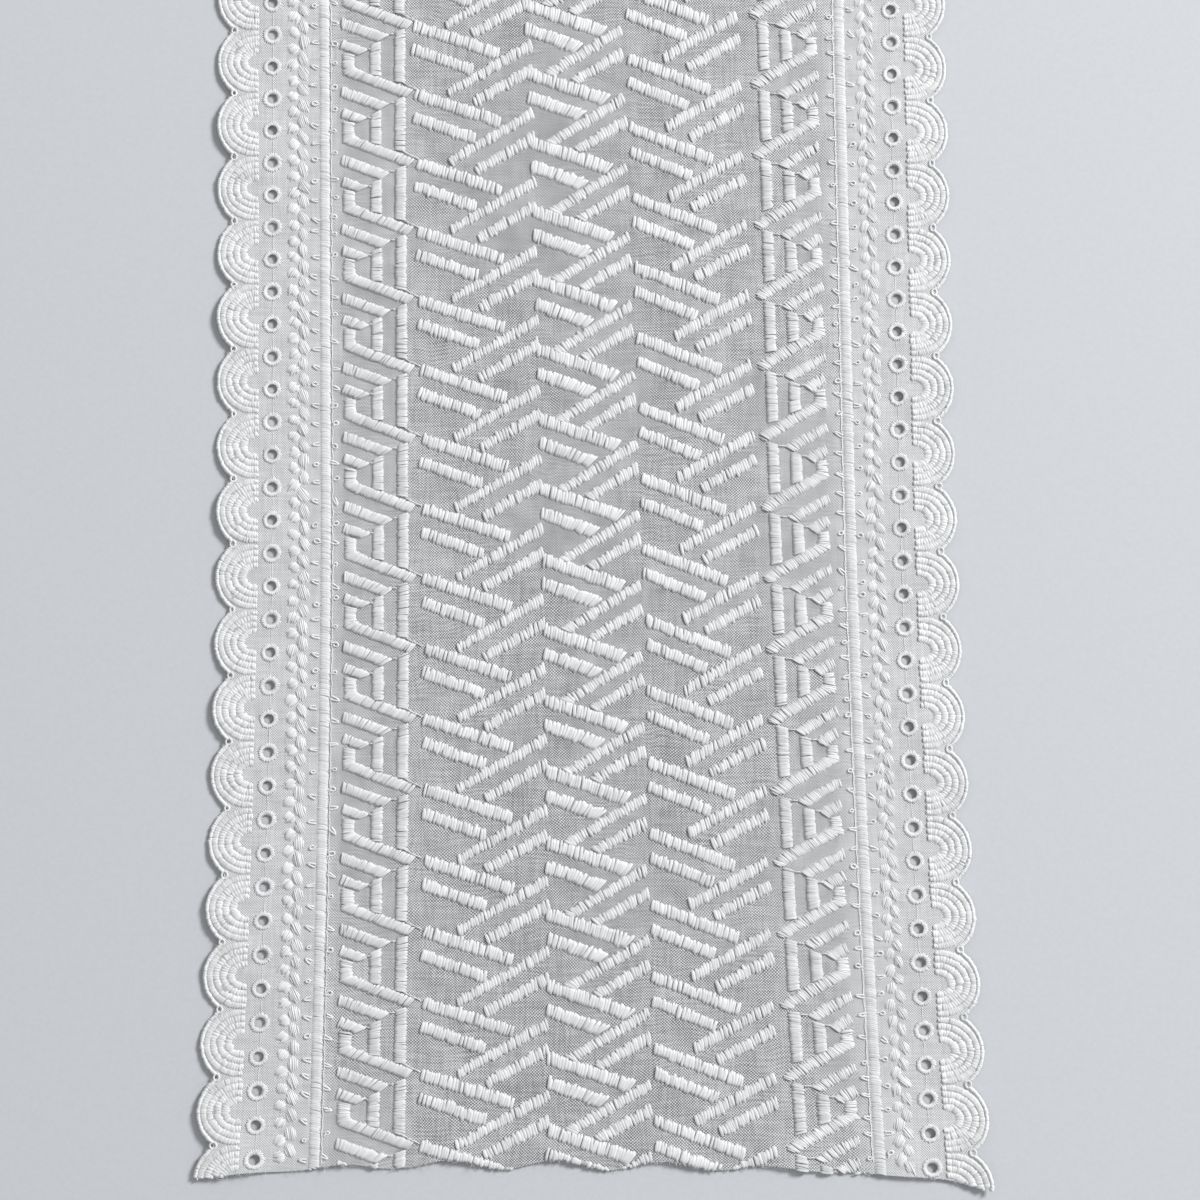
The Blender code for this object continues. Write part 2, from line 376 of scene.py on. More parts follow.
def clip_to_cloth(start, end, ragged=0.0):
    """Shortens the strands that run past either cut end, and says which are left."""
    margin = CUT_MARGIN - ragged * rng.random(len(start))

    def inside(points):
        low = points[:, 1] - cut_line(points[:, 0]) - margin
        high = LENGTH - CUT_MARGIN - points[:, 1]
        return np.minimum(low, high)

    first, second = inside(start), inside(end)
    share = np.clip(first / np.where(np.abs(first - second) < 1e-9, 1.0, first - second), 0.0, 1.0)
    meet = start + (end - start) * share[:, None]
    start_cut, end_cut = first < 0.0, second < 0.0
    new_start = np.where((start_cut & ~end_cut)[:, None], meet, start)
    new_end = np.where((end_cut & ~start_cut)[:, None], meet, end)
    long_enough = np.linalg.norm(new_end - new_start, axis=1) > SHORTEST_STRAND
    return new_start, new_end, ~(start_cut & end_cut) & long_enough


def add_strands(stock, start, end, stitch, crown=None, width=None, full=None, bow=0.0):
    """Arched threads from start to end, both (number, 2) in the plan."""
    number = len(start)
    if number == 0:
        return
    crown = stitch.crown * np.ones(number) if crown is None else crown
    width = stitch.width * np.ones(number) if width is None else width
    sections, wide = stitch.sections, stitch.across
    run = end - start
    length = np.linalg.norm(run, axis=1)
    along = run / length[:, None]
    side = np.stack([-along[:, 1], along[:, 0]], axis=1)
    step = 0.5 - 0.5 * np.cos(PI * np.arange(sections) / (sections - 1))
    step = 0.35 * np.linspace(0.0, 1.0, sections) + 0.65 * step
    arch = (1.0 - np.abs(2.0 * step - 1.0) ** stitch.flat) ** 0.75
    swell = stitch.tip + (1.0 - stitch.tip) * (1.0 - np.abs(2.0 * step - 1.0) ** 3)
    reach = np.linspace(-1.0, 1.0, wide)
    bow = rng.normal(bow, 0.05, number)[:, None] * np.sin(PI * step)[None, :]
    middle = start[:, None, :] + run[:, None, :] * step[None, :, None]
    middle = middle + side[:, None, :] * bow[..., None]
    half = 0.5 * width[:, None] * swell[None, :]
    plan = middle[:, :, None, :] + side[:, None, None, :] * (half[..., None] * reach)[..., None]
    low = ground_height(middle[..., 0], middle[..., 1]) - STRAND_SINK
    shape = 1.0 if full is None else np.clip(length / full, 0.35, 1.0)[:, None]
    height = low + (crown[:, None] * shape + STRAND_SINK) * arch[None, :]
    drop = stitch.round * half[..., None] * (1.0 - np.sqrt(1.0 - (0.93 * reach) ** 2))
    points = lay(plan[..., 0], plan[..., 1], height[..., None] - drop)
    offset = rng.uniform(0.0, 60.0, (number, 1, 1))
    u = offset + (length[:, None] * step[None, :])[..., None] + 0.0 * reach
    v = offset * 1.7 + half[..., None] * reach
    shades = np.clip(rng.normal(stitch.tone, 0.10, number), 0.2, 1.0)
    stock.grids(points, np.stack([u, v], axis=-1), shades)


def polyline(knots, steps):
    """Points of a polyline, at steps counted in knots."""
    knots = np.asarray(knots, float)
    low = np.clip(np.floor(steps).astype(int), 0, len(knots) - 2)
    part = (steps - low)[:, None]
    return knots[low] * (1.0 - part) + knots[low + 1] * part


def ribbon(stock, top, bottom, kind, bow=0.0):
    """Satin stitches between two edges given at common knots, each (knots, 2) in the plan."""
    stitch = STITCHES[kind]
    runs = [np.linalg.norm(np.diff(edge, axis=0), axis=1) for edge in (top, bottom)]
    lengths = np.concatenate([[0.0], np.cumsum(np.max(runs, axis=0))])
    number = max(2, int(round(lengths[-1] / stitch.pitch)))
    spaces = 1.0 + np.clip(rng.normal(0.0, stitch.loose, number), -0.4, 0.4)
    spaces[rng.random(number) < stitch.gaps] += SLIT
    places = (np.cumsum(spaces) - 0.5 * spaces) / spaces.sum() * lengths[-1]
    steps = np.interp(places, lengths, np.arange(len(lengths)))
    start, end = polyline(bottom, steps), polyline(top, steps)
    run = end - start
    length = np.linalg.norm(run, axis=1)
    unit = run / length[:, None]
    aside = np.stack([unit[:, 1], -unit[:, 0]], axis=1)
    start = start - unit * (STITCH_OUTSIDE + rng.normal(0.0, stitch.ragged, number))[:, None]
    end = end + unit * (STITCH_OUTSIDE + rng.normal(0.0, stitch.ragged, number))[:, None]
    start = start + aside * rng.normal(0.0, stitch.loose, number)[:, None]
    end = end + aside * rng.normal(0.0, stitch.loose, number)[:, None]
    start, end, left = clip_to_cloth(start, end, ragged=RAGGED_CUT)
    crown = stitch.crown * (1.0 + rng.normal(0.0, 0.06, number))
    width = stitch.width * (1.0 + rng.normal(0.0, 0.12, number))
    full = 0.75 * np.median(length)
    add_strands(stock, start[left], end[left], stitch, crown[left], width[left], full, bow)
    add_core(stock, bottom, top, stitch)


def add_core(stock, bottom, top, stitch):
    """The padding under a ribbon: a low pillow that closes its ends, coloured dark as painted shade
    where slits between strands show it.
    """
    count = max(6, int(np.linalg.norm(top[-1] - top[0]) / 2.0))
    steps = np.linspace(0.0, len(top) - 1.0, count)
    start, end = polyline(bottom, steps), polyline(top, steps)
    start, end, left = clip_to_cloth(start, end)
    if left.sum() < 3:
        return
    start, end = start[left], end[left]
    count = len(start)
    reach = np.array(CORE_STEPS)
    plan = start[:, None, :] * (1.0 - reach)[None, :, None] + end[:, None, :] * reach[None, :, None]
    hump = (1.0 - np.abs(2.0 * reach - 1.0) ** stitch.flat) ** 0.75
    ends = np.clip(np.minimum(np.arange(count), np.arange(count)[::-1]), 0.0, 1.0)
    height = ground_height(plan[..., 0], plan[..., 1]) - 0.1
    height = height + (0.34 * stitch.crown * hump[None, :] + 0.1) * ends[:, None]
    points = lay(plan[..., 0], plan[..., 1], height)[None]
    # A tone of nought gives the padding the thread's dark colour: painted shade in the slits between
    # strands.
    stock.grids(points, plan[None], np.array([0.0]))


def add_tubes(stock, paths, radius, around=6, flat=1.0, closed=False, tone=0.8):
    """Round threads along paths (number, points, 3): across, along and height in the plan."""
    paths = np.asarray(paths, float)
    number, count = paths.shape[:2]
    radius = np.broadcast_to(radius, (number, count))
    if closed:
        run = np.roll(paths, -1, axis=1) - np.roll(paths, 1, axis=1)
    else:
        run = np.gradient(paths, axis=1)
    run /= np.maximum(np.linalg.norm(run, axis=2, keepdims=True), 1e-9)
    side = np.stack([-run[..., 1], run[..., 0], np.zeros((number, count))], axis=-1)
    side /= np.maximum(np.linalg.norm(side, axis=2, keepdims=True), 1e-6)
    up = np.cross(run, side)
    turn = TAU * np.arange(around) / around
    ring = side[:, :, None, :] * np.cos(turn)[None, None, :, None]
    ring = ring + up[:, :, None, :] * (flat * np.sin(turn))[None, None, :, None]
    points = paths[:, :, None, :] + ring * radius[..., None, None]
    if closed:
        points = np.concatenate([points, points[:, :1]], axis=1)
        count += 1
    length = np.arange(count)[None, :, None] * 0.4 + rng.uniform(0.0, 50.0, (number, 1, 1))
    u = length + 0.0 * turn
    v = (turn * 0.35)[None, None, :] + 0.0 * length
    laid = lay(points[..., 0], points[..., 1], points[..., 2])
    shades = np.clip(rng.normal(tone, 0.1, number), 0.3, 1.2)
    stock.grids(laid, np.stack([u, v], axis=-1), shades, closed=True)


# ---- materials
# Where across the cloth it turns paler, from and to, and by how much
PALER = ((44.0, 50.0, 0.08), (64.5, 68.5, 0.24))
# Soft darker patches in the voile, one between a row's bars in every row: across, along from
# the row's start, its reach across, how much darker, and how much paler all along
TonePatch = namedtuple("TonePatch", "across along reach darker paler")
TONE_PATCHES = [
    TonePatch(-60.0, 13.3, 7.0, 0.045, 0.010),
    TonePatch(-43.0, 18.7, 7.0, 0.035, 0.045),
    TonePatch(-30.0, 3.0, 6.0, 0.035, 0.000),
    TonePatch(-20.0, 8.0, 7.0, 0.045, -0.050),
    TonePatch(-8.0, 6.5, 7.0, 0.030, -0.045),
    TonePatch(6.0, 14.5, 6.0, 0.020, -0.035),
    TonePatch(23.0, 5.3, 8.0, 0.045, -0.005),
    TonePatch(36.0, 17.5, 7.0, 0.030, 0.045),
]
# The fine ripples where stitches draw the cloth in: their pitch along it, and how far they wander
RIPPLE_PITCH, RIPPLE_WANDER = 1.15, 26.0
# How deep a material's bump looks, in metres
BUMP_HEIGHT = 0.00012


def new_tree(name):
    material = bpy.data.materials.new(name)
    material.use_nodes = True
    tree = material.node_tree
    shader = tree.nodes["Principled BSDF"]
    shader.inputs["Metallic"].default_value = 0.0
    return material, tree, shader


def node(tree, kind, inputs=None, **settings):
    """A new node. inputs gives each named or numbered socket a value or another node's output."""
    made = tree.nodes.new(kind)
    for key, value in settings.items():
        setattr(made, key, value)
    for key, value in (inputs or {}).items():
        if isinstance(value, bpy.types.NodeSocket):
            tree.links.new(value, made.inputs[key])
        else:
            made.inputs[key].default_value = value
    return made


def maths(tree, operation, first, second=0.0, third=0.0):
    made = node(tree, "ShaderNodeMath", {0: first, 1: second, 2: third}, operation=operation)
    return made.outputs[0]


def times(tree, first, second):
    return maths(tree, "MULTIPLY", first, second)


def plus(tree, first, gain, base):
    """first times gain, plus base."""
    return maths(tree, "MULTIPLY_ADD", first, gain, base)


def noise(tree, place, scale, detail, **others):
    """A noise texture's value at a place."""
    sockets = {"Vector": place, "Scale": scale, "Detail": detail, **others}
    return node(tree, "ShaderNodeTexNoise", sockets).outputs[0]


def ranged(tree, value, start, stop, low=0.0, high=1.0):
    """low where value is start, high where it is stop, and no further."""
    sockets = {"Value": value, "From Min": start, "From Max": stop, "To Min": low, "To Max": high}
    return node(tree, "ShaderNodeMapRange", sockets).outputs[0]


def mixed(tree, share, low, high):
    """A colour from low to high."""
    made = node(tree, "ShaderNodeMix", {"Factor": share}, data_type="RGBA")
    sockets = {socket.identifier: socket for socket in (*made.inputs, *made.outputs)}
    sockets["A_Color"].default_value = (*low, 1.0)
    sockets["B_Color"].default_value = (*high, 1.0)
    return sockets["Result_Color"]


def finish_shader(tree, shader, tone, dark, light, rough, height, strength, gloss):
    """Links a thread's or cloth's colour, roughness and bump, and sets its sheen and gloss."""
    tree.links.new(mixed(tree, tone, dark, light), shader.inputs["Base Color"])
    tree.links.new(rough, shader.inputs["Roughness"])
    sockets = {"Height": height, "Strength": strength, "Distance": BUMP_HEIGHT}
    tree.links.new(node(tree, "ShaderNodeBump", sockets).outputs[0], shader.inputs["Normal"])
    for socket, value in zip(("Sheen Weight", "Sheen Roughness", "Specular IOR Level"), gloss):
        shader.inputs[socket].default_value = value


def thread_material(name, light, dark, rough, relief):
    """Mercerised thread: fine fibres along it, a soft lustre, and a per-strand tone that differs a
    little at random and also carries the pieces' painted sheen, painted highlight and painted shade.
    """
    material, tree, shader = new_tree(name)
    plan = node(tree, "ShaderNodeUVMap", uv_map="plan").outputs[0]
    fibre_place = node(tree, "ShaderNodeMapping", {"Vector": plan, "Scale": (0.45, 8.0, 1.0)})
    fibres = noise(tree, fibre_place.outputs[0], 1.0, 3.0, Roughness=0.6)
    slub = noise(tree, plan, 0.35, 1.0)
    shade = node(tree, "ShaderNodeAttribute", attribute_name="shade").outputs["Fac"]
    tone = plus(tree, shade, 0.9, plus(tree, fibres, 0.3, -0.2))
    tone = plus(tree, slub, 0.3, tone)
    rough = plus(tree, fibres, 0.22, rough - 0.11)
    finish_shader(tree, shader, tone, dark, light, rough, fibres, relief, (0.12, 0.45, 0.37))
    return material


def weave(tree, plan, pitch, drift):
    """A plain weave whose threads wander by drift: its places, its heights and its gaps."""
    pull = node(tree, "ShaderNodeTexNoise", {"Vector": plan, "Scale": 0.13, "Detail": 2.0})
    moved = {0: pull.outputs["Color"], 1: (drift, drift, 0.0)}
    moved = node(tree, "ShaderNodeVectorMath", moved, operation="MULTIPLY").outputs[0]
    pulled = node(tree, "ShaderNodeVectorMath", {0: plan, 1: moved}, operation="ADD").outputs[0]
    parts = node(tree, "ShaderNodeSeparateXYZ", {0: pulled}).outputs
    turns = [times(tree, parts[axis], PI / pitch) for axis in (0, 1)]
    over = times(tree, *[maths(tree, "SINE", turn) for turn in turns])
    # A gap lies where both sets of threads are at their edges
    gap = times(tree, *[maths(tree, "COSINE", turn) for turn in turns])
    return pulled, parts, over, maths(tree, "ABSOLUTE", gap)


def ripples_in(tree, plan, along, depth):
    """Fine ripples that run across the cloth where stitches draw it in, used both as a bump and as
    painted shade and highlight in the colour.
    """
    wander = noise(tree, plan, 0.11, 1.0)
    turn = plus(tree, wander, RIPPLE_WANDER, times(tree, along, TAU / RIPPLE_PITCH))
    sockets = {"Vector": plan, "Scale": 0.09, "Detail": 2.0, "W": 3.0}
    patch = node(tree, "ShaderNodeTexNoise", sockets, noise_dimensions="4D").outputs[0]
    depth = times(tree, ranged(tree, patch, 0.45, 0.65), depth)
    return times(tree, maths(tree, "SINE", turn), depth)


def tone_patch(tree, place, spot, tone):
    """The tone with one of the voile's darker patches in every row."""
    off = plus(tree, place[0], 1.0 / spot.reach, -spot.across / spot.reach)
    near = maths(tree, "SUBTRACT", 1.0, times(tree, off, off))
    near = maths(tree, "MAXIMUM", near, 0.0)
    start = FIRST_ROW + spot.along
    turn = plus(tree, place[1], TAU / REPEAT, -TAU * start / REPEAT)
    gain = plus(tree, maths(tree, "COSINE", turn), -spot.darker, spot.paler)
    return plus(tree, gain, near, tone)


def cloth_material(
    name, light, dark, pitch, cover, contrast, drift, ripples, paler=(), tone_patches=()
):
    """Plain weave: threads over and under at the given pitch, open between them by 1 - cover."""
    material, tree, shader = new_tree(name)
    plan = node(tree, "ShaderNodeUVMap", uv_map="plan").outputs[0]
    pulled, parts, over, gap = weave(tree, plan, pitch, drift)
    # Single threads are thicker or thinner than their neighbours for a few millimetres
    slubs = []
    for scale in ((1.5, 0.12, 1.0), (0.12, 1.5, 1.0)):
        stretched = node(tree, "ShaderNodeMapping", {"Vector": pulled, "Scale": scale})
        slubs.append(noise(tree, stretched.outputs[0], 1.0, 2.0))
    slub = maths(tree, "ADD", *slubs)
    cloud = noise(tree, plan, 0.07, 3.0)
    ripple = ripples_in(tree, plan, parts[1], ripples)
    # The ripples darken and lighten the colour in stripes: painted shade and highlight of the
    # ripples, which are also a real bump below.
    tone = maths(tree, "ADD", plus(tree, over, contrast, 0.5), ripple)
    tone = plus(tree, slub, 0.8, maths(tree, "SUBTRACT", tone, 0.8))
    tone = plus(tree, cloud, 0.5, maths(tree, "SUBTRACT", tone, 0.25))
    # The cloth looks paler towards the seams, where it lies double
    place = node(tree, "ShaderNodeSeparateXYZ", {0: plan}).outputs
    reach = maths(tree, "ABSOLUTE", place[0])
    for start, stop, gain in paler:
        tone = maths(tree, "ADD", tone, ranged(tree, reach, start, stop, high=gain))
    for spot in tone_patches:
        tone = tone_patch(tree, place, spot, tone)
    rough = plus(tree, slub, 0.15, 0.6)
    tree.links.new(ranged(tree, gap, 0.35, 0.95, 1.0, cover), shader.inputs["Alpha"])
    height = plus(tree, over, 0.5, times(tree, slub, 0.5))
    height = plus(tree, ripple, 2.0, height)
    finish_shader(tree, shader, tone, dark, light, rough, height, 0.6, (0.2, 0.5, 0.25))
    return material


THREAD_COLOURS = ((0.87, 0.87, 0.87), (0.42, 0.42, 0.425))
satin = thread_material("satin_thread", *THREAD_COLOURS, rough=0.46, relief=0.5)
purl = thread_material("purl_thread", *THREAD_COLOURS, rough=0.5, relief=0.6)
voile = cloth_material(
    "panel_voile", light=(0.82, 0.82, 0.83), dark=(0.15, 0.155, 0.16), pitch=0.38, cover=0.6,
    contrast=0.8, drift=1.6, ripples=0.14, paler=PALER, tone_patches=TONE_PATCHES,
)
cotton = cloth_material(
    "border_cotton", light=(0.86, 0.86, 0.865), dark=(0.43, 0.435, 0.44), pitch=0.33,
    cover=0.85, contrast=0.85, drift=0.8, ripples=0.05,
)


# ---- the cloth itself
def panel_ground():
    """The centre panel's voile, from seam to seam and from the wavy cut end to the straight one."""
    stock = Stock()
    half = SEAM_ACROSS - PIECE_GAP / 2.0
    columns, rows = PANEL_GRID
    wide, along = np.meshgrid(np.linspace(-half, half, columns), np.linspace(0.0, LENGTH, rows))
    near = fade((np.abs(wide) - SEAM_PULL_FROM) / (half - SEAM_PULL_FROM))
    side_lines = np.where(wide < 0.0, seam_line("left", along), seam_line("right", along))
    wide = wide + np.sign(wide) * near * (side_lines - SEAM_ACROSS)
    along = along + cut_line(wide) * (1.0 - fade(along / PANEL_END_REACH))
    points = lay(wide, along, ground_height(wide, along))
    maps = np.stack([wide, along], axis=-1)
    # The rows run up the trim, so the grid's first step is along it
    stock.grids(points[None, :, ::-1], maps[None, :, ::-1], np.array([0.5]))
    return stock.build("panel_ground", voile)


def border_ground(side_name):
    """One border's cotton, with its open eyelets and its scalloped edge."""
    side = SIDES[side_name]
    seam = SEAM_ACROSS + PIECE_GAP / 2.0
    inner, outer = EYELET_ACROSS - CELL_HALF_WIDTH, EYELET_ACROSS + CELL_HALF_WIDTH
    half = EYELET_PITCH / 2.0
    patches = []
    for i, middle in enumerate(eyelet_middles(side_name)):
        low, high = middle - half, middle + half

        def settle(across, along):
            """Places, with the first and last cells' ends moved to the trim's own."""
            if i == 0:
                foot = cut_line(side * across)
                share = np.clip((middle - CELL_CORE - along) / (half - CELL_CORE), 0.0, 1.0)
                along = along + (foot - low) * share
            if i == EYELET_COUNT - 1:
                share = np.clip((along - middle - CELL_CORE) / (half - CELL_CORE), 0.0, 1.0)
                along = along + (LENGTH - high) * share
            return np.stack([across, along], axis=-1)

        rows = np.linspace(low, high, 13)
        # From the seam to the eyelet's cell
        share, along = np.meshgrid(np.linspace(0.0, 1.0, 9), rows)
        start = seam + seam_line(side_name, along) - SEAM_ACROSS
        across = start + (inner - start) * share
        patches.append(settle(across, along))
        # From the eyelet's cell to the scalloped edge
        share, along = np.meshgrid(np.linspace(0.0, 1.0, 8), rows)
        moved = settle(np.full_like(along, outer), along)
        edge = scallop_edge(side_name, moved[..., 1])
        across = outer + (edge - outer) * share
        patches.append(settle(across, along))
        # Round the eyelet, out to its cell
        wide, tall = np.linspace(-CELL_HALF_WIDTH, CELL_HALF_WIDTH, 7), np.linspace(-half, half, 13)
        loop = [(CELL_HALF_WIDTH, y) for y in tall[6:-1]]
        loop += [(x, half) for x in wide[:0:-1]]
        loop += [(-CELL_HALF_WIDTH, y) for y in tall[:0:-1]]
        loop += [(x, -half) for x in wide[:-1]]
        loop += [(CELL_HALF_WIDTH, y) for y in tall[:7]]
        loop = np.array(loop)
        turn = np.arctan2(loop[:, 1] / half, loop[:, 0] / CELL_HALF_WIDTH)
        rim = EYELET_RADIUS * np.stack([np.cos(turn), np.sin(turn)], axis=-1)
        steps = np.array([0.0, 0.2, 0.5, 1.0])[:, None, None]
        ring = rim[None] * (1.0 - steps) + loop[None] * steps
        patches.append(settle(ring[..., 0] + EYELET_ACROSS, ring[..., 1] + middle))
    places, faces, count = [], [], 0
    for patch in patches:
        rows, columns = patch.shape[:2]
        index = np.arange(rows * columns).reshape(rows, columns) + count
        quads = np.stack([index[:-1, :-1], index[:-1, 1:], index[1:, 1:], index[1:, :-1]], axis=-1)
        places.append(patch.reshape(-1, 2))
        faces.append(quads.reshape(-1, 4))
        count += rows * columns
    places, faces = np.concatenate(places), np.concatenate(faces)
    _, first, same = np.unique(np.round(places, 3), axis=0, return_index=True, return_inverse=True)
    places, faces = places[first], same.reshape(-1)[faces]
    across, along = side * places[:, 0], places[:, 1]
    points = lay(across, along, ground_height(across, along))
    corner = points[faces]
    upward = np.cross(corner[:, 2] - corner[:, 0], corner[:, 3] - corner[:, 1])[:, 2] >= 0.0
    faces = np.where(upward[:, None], faces, faces[:, ::-1])
    stock = Stock()
    maps, shades = np.stack([across, along], axis=-1), np.full(len(points), 0.5)
    stock.parts.append((points, faces, maps, shades))
    return stock.build("border_ground_" + side_name, cotton)


# ---- the embroidery
def drifted(points, column):
    """A column's points as they lie: the middle columns have slid left and down at the far end."""
    v = (points[:, 1] - DRIFT_FROM) / DRIFT_OVER
    moved = [first + second * v + third * v**2 for first, second, third in DRIFTS[column]]
    return points + np.stack(moved, axis=-1)


def seam_line(side_name, along):
    """How far across the cord over each seam lies."""
    middle, lean = SEAM_LINES[side_name]
    return middle + lean * (along - DRIFT_FROM) / DRIFT_OVER


def row_start(row, across):
    """Where a row of the repeat starts along the trim. The rows open up a little to the right."""
    return FIRST_ROW + row * (REPEAT + REPEAT_SKEW * across)


def stitched_bars(name, bars, column):
    """Every row's bars of one column or key band."""
    stock = Stock()
    for row in ROWS:
        for kind, knots in bars:
            top, bottom = np.hsplit(np.array(knots, float), 2)
            for edge in (top, bottom):
                edge[:, 1] += row_start(row, np.mean(edge[:, 0]))
            ribbon(stock, drifted(top, column), drifted(bottom, column), kind)
    return stock.build(name, satin)


def add_thread(stock, across, along, rise, radius, **shape):
    """One round thread whose middle lies rise above the cloth."""
    path = np.column_stack([across, along, ground_height(across, along) + rise])
    add_tubes(stock, [path], radius, **shape)


def near_cut(across, along, room):
    """Whether a place, or any of a path's points, comes closer than room to a cut end."""
    return np.min(along - cut_line(across)) < room or np.max(along) > LENGTH - room


# Each function below with a stock and a side_name fills the piece that is named after both
def key_links(stock, side_name, _):
    """The single threads that run on from the key bars."""
    shares = np.linspace(0.0, 1.0, LINK_POINTS)
    for row in ROWS:
        for link in KEY_LINKS[side_name]:
            path = polyline(link, (len(link) - 1.0) * shares)
            path[:, 1] += row_start(row, np.mean(path[:, 0]))
            path = drifted(path, side_name) + rng.normal(0.0, 0.05, path.shape)
            if not near_cut(path[:, 0], path[:, 1], 1.0):
                add_thread(stock, *path.T, 0.2 + 0.25 * np.sin(PI * shares), LOOSE_THREAD, around=5)


def scallop_curve(side, tip, half_sizes, turns, limit=BAND_LIMIT):
    """A band's curve about a scallop's centre: round outside, straight where it nears the next."""
    wide, tall = half_sizes
    across = side * (SCALLOP_CENTRE + wide * np.cos(turns))
    along = tip + np.clip(tall * np.sin(turns), -limit, limit)
    return np.stack([across, along], axis=-1)


def scallops(stock, side_name, side):
    """The satin bands of every scallop, and the upright stitches that close their inner ends."""
    turns = np.linspace(-PI / 2.0, PI / 2.0, 25)
    for tip in scallop_tips(side_name):
        for kind, outer, inner in SCALLOP_BANDS:
            near = scallop_curve(side, tip, inner, turns)
            far = scallop_curve(side, tip, outer, turns)
            ribbon(stock, near, far, kind)
            for end in (0, -1):
                starts, ends, left = clip_to_cloth(*[
                    [(side * across, curve[end, 1]) for across in WRAP_ACROSS]
                    + rng.normal(0.0, 0.10, (2, 2))
                    for curve in (near, far)
                ])
                add_strands(stock, starts[left], ends[left], STITCHES["wrap"])


def edge_cords(stock, side_name, side):
    """The overcast rim along each scallop's edge, and the small picot loop in each valley."""
    turns = np.linspace(-RIM_TURN, RIM_TURN, 41)
    turn = TAU * np.arange(PICOT_POINTS) / PICOT_POINTS
    for tip in scallop_tips(side_name):
        near, far = [scallop_curve(side, tip, (r, r), turns, limit=RIM_LIMIT) for r in RIM_SIZES]
        ribbon(stock, near, far, "rim")
        centre, valley = side * PICOT_ACROSS, tip + SCALLOP_PITCH / 2.0
        if near_cut(centre, valley, 2.0):
            continue
        wide, tall = PICOT_HALF_SIZES * (1.0 + 0.10 * rng.normal(size=3))[:2]
        across = centre + side * wide * np.cos(turn)
        along = valley + tall * np.sin(turn)
        add_thread(stock, across, along, 0.15, PICOT_THICK, around=7, closed=True)


def eyelet_rims(stock, side_name, side):
    """The flat ring round each eyelet, the satin spokes over it and the thread between eyelets."""
    ring_turn = TAU * np.arange(RING_POINTS) / RING_POINTS
    for i, middle in enumerate(eyelet_middles(side_name)):
        scale = RIM_SCALES[i % 2]
        across = side * EYELET_ACROSS + RING_RADIUS * scale * np.cos(ring_turn)
        along = middle + RING_RADIUS * scale * np.sin(ring_turn)
        rise = RING_HEIGHT + rng.normal(0.0, 0.03, RING_POINTS)
        thick = RING_THICK * (1.0 + rng.normal(0.0, 0.10, RING_POINTS))
        add_thread(stock, across, along, rise, thick, around=8, flat=0.33, closed=True, tone=0.78)
        turn = TAU * (np.arange(SPOKE_COUNT) + rng.uniform(-0.2, 0.2, SPOKE_COUNT)) / SPOKE_COUNT
        reach = SPOKE_TO * scale + rng.normal(0.0, 0.10, SPOKE_COUNT)
        centre = np.array([side * EYELET_ACROSS, middle])
        way = np.stack([np.cos(turn), np.sin(turn)], axis=-1)
        ends = centre + way * reach[:, None]
        add_strands(stock, centre + way * SPOKE_FROM, ends, STITCHES["spoke"])
        along = middle + np.linspace(BRIDGE_FROM, EYELET_PITCH - BRIDGE_FROM, 8)
        across = side * (EYELET_ACROSS - 0.2) + 0.06 * np.sin(along * 1.7)
        if not near_cut(across, along, 1.0):
            add_thread(stock, across, along, 0.05, FINE_THREAD, around=5)


def satin_knots(stock, side_name, side):
    """Two staggered rows of padded satin knots between the eyelets and the cord."""
    spots = np.linspace(-1.0, 1.0, KNOT_STRANDS)
    for row in KNOT_ROWS[side_name]:
        strand = STITCHES["knot"]._replace(round=row.round)
        for k in range(-1, 2 * EYELET_COUNT + 1):
            along = FIRST_EYELET[side_name] + row.offset + EYELET_PITCH / 2.0 * k
            pulled = 0.5 * (seam_line(side_name, along) - SEAM_ACROSS)
            centre = np.array([side * (row.place + pulled), along]) + rng.normal(0.0, 0.12, 2)
            if near_cut(centre[0], along, KNOT_ROOM):
                continue
            lean = row.lean + rng.normal(0.0, 0.16)
            way = np.array([-math.sin(lean), math.cos(lean)])
            aside = np.array([way[1], -way[0]])
            wide = row.half_wide * (1.0 + rng.normal(0.0, 0.06))
            tall = row.half_tall * (1.0 + rng.normal(0.0, 0.06))
            body = tall * (1.0 - row.taper * spots**2)
            jut = rng.normal(0.0, row.jut, (2, KNOT_STRANDS))
            spine = centre + np.outer(spots * wide * 0.80, aside)
            bottoms = spine - np.outer(body + jut[0], way)
            tops = spine + np.outer(body + 0.5 * jut[1], way)
            crown = (1.0 - 0.42 * spots**2) * row.crown
            crown = crown * (1.0 + rng.normal(0.0, 0.12, KNOT_STRANDS))
            add_strands(stock, bottoms, tops, strand, crown, np.full(KNOT_STRANDS, 0.42 * wide))


def seam_cord(stock, side_name, side):
    """The upright satin cord over the seam, and the loose thread that runs beside it."""
    steps = np.linspace(-6.0, LENGTH, 60)
    edges = [seam_line(side_name, steps) + off for off in (-CORD_HALF_WIDTH, CORD_HALF_WIDTH)]
    left, right = [np.column_stack([side * edge, steps]) for edge in edges[::side]]
    right[:, 1] -= CORD_SLANT
    ribbon(stock, right, left, "cord" if side < 0 else "low_cord", bow=0.22)
    steps = np.linspace(1.0, LENGTH - 0.5, 360)
    short, long = [TAU * steps / pitch for pitch in BESIDE_WAVES]
    wander = 0.10 * np.sin(short) + 0.07 * np.sin(long)
    across = side * (seam_line(side_name, steps) - BESIDE_CORD + wander)
    on = np.minimum(steps - cut_line(across), LENGTH - steps) > 0.2
    rise = 0.10 + 0.06 * np.sin(short[on] + 1.0)
    add_thread(stock, across[on], steps[on], rise, LOOSE_THREAD, around=5)


